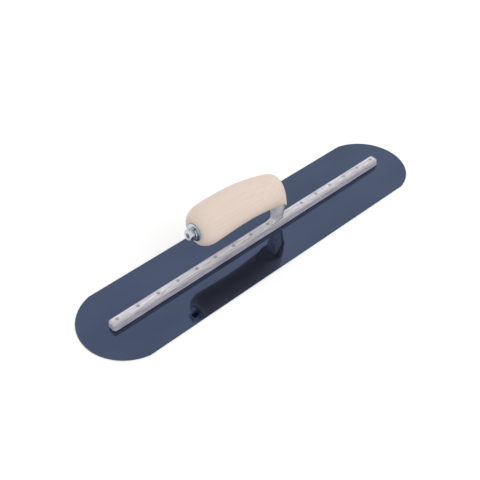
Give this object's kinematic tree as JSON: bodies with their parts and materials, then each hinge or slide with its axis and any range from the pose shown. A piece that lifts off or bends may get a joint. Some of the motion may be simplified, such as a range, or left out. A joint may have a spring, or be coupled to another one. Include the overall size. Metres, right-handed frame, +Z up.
{
  "type": "finishing trowel",
  "caption": "Round-end steel finishing trowel: thin blued blade riveted to a long aluminium bar, with a shank and a curved wooden grip held by a rear nut.",
  "frame": {"origin": "centre of the blade's underside", "axes": "+X along the blade towards the shank end of the handle, +Y across the blade, +Z up through the handle"},
  "size_m": [0.4572, 0.1016, 0.0878],
  "materials": {
    "blued_steel": "polished spring steel, heat blued",
    "cast_aluminium": "as cast, ground on top",
    "rivet_aluminium": "dull, peened and ground",
    "basswood": "sanded, unvarnished",
    "zinc_plated_steel": "bright blue-white zinc plating",
    "plain_steel": "plain, lightly oxidised"
  },
  "bodies": {
    "tool": {"blade": "blued_steel", "mounting": "cast_aluminium", "rivet_01": "rivet_aluminium", "rivet_02": "rivet_aluminium", "rivet_03": "rivet_aluminium", "rivet_04": "rivet_aluminium", "rivet_05": "rivet_aluminium", "rivet_06": "rivet_aluminium", "rivet_07": "rivet_aluminium", "rivet_08": "rivet_aluminium", "rivet_09": "rivet_aluminium", "rivet_10": "rivet_aluminium", "rivet_11": "rivet_aluminium", "rivet_12": "rivet_aluminium", "rivet_13": "rivet_aluminium", "rivet_14": "rivet_aluminium", "rivet_15": "rivet_aluminium", "handle": "basswood", "tie_rod": "plain_steel", "flat_washer": "zinc_plated_steel"},
    "washer": {"lock_washer": "zinc_plated_steel"},
    "nut": {"handle_nut": "zinc_plated_steel"}
  },
  "joints": [
    {"name": "washer_travel", "type": "slide", "parent": "tool", "child": "washer", "axis": [-0.9981, 0, 0.0624], "range_m": [0, 0.0052]},
    {"name": "nut_turn", "type": "hinge", "parent": "washer", "child": "nut", "pos_m": [-0.09039, 0, 0.06252], "axis": [-0.9981, 0, 0.0624], "range_deg": [0, 1440]}
  ],
  "couplings": [
    {"joint": "washer_travel", "follows": "nut_turn", "m_per_rad": 0.00020213}
  ]
}
